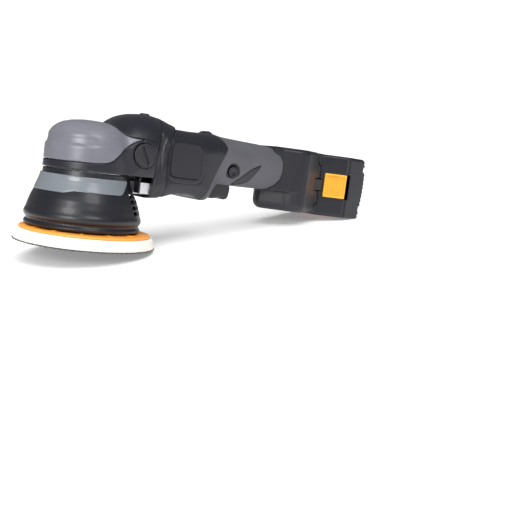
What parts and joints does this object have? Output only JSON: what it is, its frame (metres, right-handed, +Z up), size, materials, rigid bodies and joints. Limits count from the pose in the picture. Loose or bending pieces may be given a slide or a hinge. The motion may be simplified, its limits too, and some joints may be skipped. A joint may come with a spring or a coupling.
{
  "type": "dual action polisher",
  "caption": "Cordless dual action polisher: free-spinning round pad on an orbiting spindle, gear head with skirt, motor body, grip with trigger, sliding battery pack.",
  "frame": {"origin": "on the spindle axis at the level of the pad's working face", "axes": "+Z up along the spindle, away from the work; +X back along the grip to the battery; the pad hangs 7.5 mm to -Y of the spindle axis at rest"},
  "size_m": [0.3935, 0.125, 0.1242],
  "materials": {
    "grey_plastic": "fine textured matte",
    "cover_grey": "satin",
    "black_plastic": "satin",
    "soft_black": "soft touch satin",
    "skirt_black": "semi gloss",
    "band_grey": "semi gloss translucent look",
    "badge_black": "satin, plain",
    "foam_white": "fine foam",
    "plate_orange": "satin",
    "hook_grey": "hook fastener",
    "steel": "ground",
    "dark_steel": "black oxide",
    "cast_alloy": "die cast",
    "balance_iron": "machined cast",
    "copper_wire": "enamelled",
    "magnet_dark": "coated",
    "inner_plastic": "moulded",
    "board_green": "solder mask",
    "contact_brass": "plated",
    "cell_wrap": "shrink wrapped can",
    "pack_black": "satin",
    "latch_amber": "satin",
    "gauge_red": "satin",
    "lens_clear": "frosted",
    "label_orange": "plain printed film"
  },
  "bodies": {
    "housing": {"gear_case": "cast_alloy", "spindle_bearings": "steel", "bearing_retainer": "steel", "head_shell": "black_plastic", "head_cover": "cover_grey", "neck_hood": "black_plastic", "collar": "soft_black", "shroud": "skirt_black", "shroud_band": "band_grey", "side_plugs": "black_plastic", "head_screws": "dark_steel", "motor_cover_left": "soft_black", "motor_cover_right": "soft_black", "badge_plates": "badge_black", "stator_core": "steel", "windings": "copper_wire", "motor_bearings": "steel", "motor_plate": "inner_plastic", "shaft_lock_spring": "steel", "handle_left": "grey_plastic", "handle_right": "grey_plastic", "handle_inlays": "black_plastic", "trigger_spring": "steel", "switch_unit": "inner_plastic", "control_board": "board_green", "housing_screws": "dark_steel", "dock_left": "soft_black", "dock_right": "soft_black", "terminal_block": "inner_plastic", "terminal_blades": "contact_brass"},
    "motor_rotor": {"rotor": "magnet_dark", "motor_shaft": "steel", "pinion": "steel", "lock_wheel": "steel", "cooling_fan": "inner_plastic"},
    "eccentric": {"counterweight": "balance_iron", "pad_bearings": "steel", "spindle": "steel", "spindle_screw": "dark_steel", "crown_gear": "steel"},
    "pad": {"hook_face": "hook_grey", "foam_pad": "foam_white", "backing_plate": "plate_orange", "pad_spindle": "steel", "pad_screw": "dark_steel"},
    "shaft_lock": {"shaft_lock_button": "black_plastic"},
    "dial": {"speed_dial": "black_plastic"},
    "trigger_lever": {"trigger": "black_plastic"},
    "lock_on": {"lock_on_button": "black_plastic"},
    "battery": {"pack_rail_case": "pack_black", "pack_rear_case": "pack_black", "cells": "cell_wrap", "pack_board": "board_green", "pack_contacts": "contact_brass", "gauge_lenses": "lens_clear", "pack_label": "label_orange", "pack_screws": "dark_steel", "latch_spring": "steel"},
    "latch": {"latch_button": "latch_amber"},
    "gauge": {"gauge_button": "gauge_red"}
  },
  "joints": [
    {"name": "spindle_spin", "type": "hinge", "parent": "housing", "child": "eccentric", "pos_m": [0, 0, 0.05], "axis": [0, 0, 1], "continuous": true},
    {"name": "motor_spin", "type": "hinge", "parent": "housing", "child": "motor_rotor", "pos_m": [0.08, 0, 0.084], "axis": [1, 0, 0], "continuous": true},
    {"name": "pad_spin", "type": "hinge", "parent": "eccentric", "child": "pad", "pos_m": [0, -0.0075, 0.012], "axis": [0, 0, 1], "continuous": true},
    {"name": "shaft_lock_press", "type": "slide", "parent": "housing", "child": "shaft_lock", "axis": [0, 0, -1], "range_m": [0, 0.003], "stiffness_N_per_m": 400, "springref_m": -0.003, "deforming": ["shaft_lock_spring"]},
    {"name": "dial_turn", "type": "hinge", "parent": "housing", "child": "dial", "pos_m": [0.126, 0, 0.1085], "axis": [0, 1, 0], "range_deg": [-120, 120]},
    {"name": "trigger_squeeze", "type": "hinge", "parent": "housing", "child": "trigger_lever", "pos_m": [0.1265, 0, 0.0635], "axis": [0, -1, 0], "range_deg": [0, 7], "stiffness_Nm_per_rad": 0.8, "springref_deg": -20.05, "deforming": ["trigger_spring"]},
    {"name": "lock_on_press", "type": "slide", "parent": "housing", "child": "lock_on", "axis": [0, 1, 0], "range_m": [0, 0.003], "stiffness_N_per_m": 300, "springref_m": -0.003},
    {"name": "battery_slide", "type": "slide", "parent": "housing", "child": "battery", "axis": [0, -1, 0], "range_m": [0, 0.1]},
    {"name": "latch_pull", "type": "slide", "parent": "battery", "child": "latch", "axis": [1, 0, 0], "range_m": [0, 0.0042], "stiffness_N_per_m": 500, "springref_m": -0.004, "deforming": ["latch_spring"]},
    {"name": "gauge_press", "type": "slide", "parent": "battery", "child": "gauge", "axis": [0, -1, 0], "range_m": [0, 0.0012], "stiffness_N_per_m": 300, "springref_m": -0.003}
  ],
  "couplings": [
    {"joint": "motor_spin", "follows": "spindle_spin", "ratio": 3.25}
  ]
}
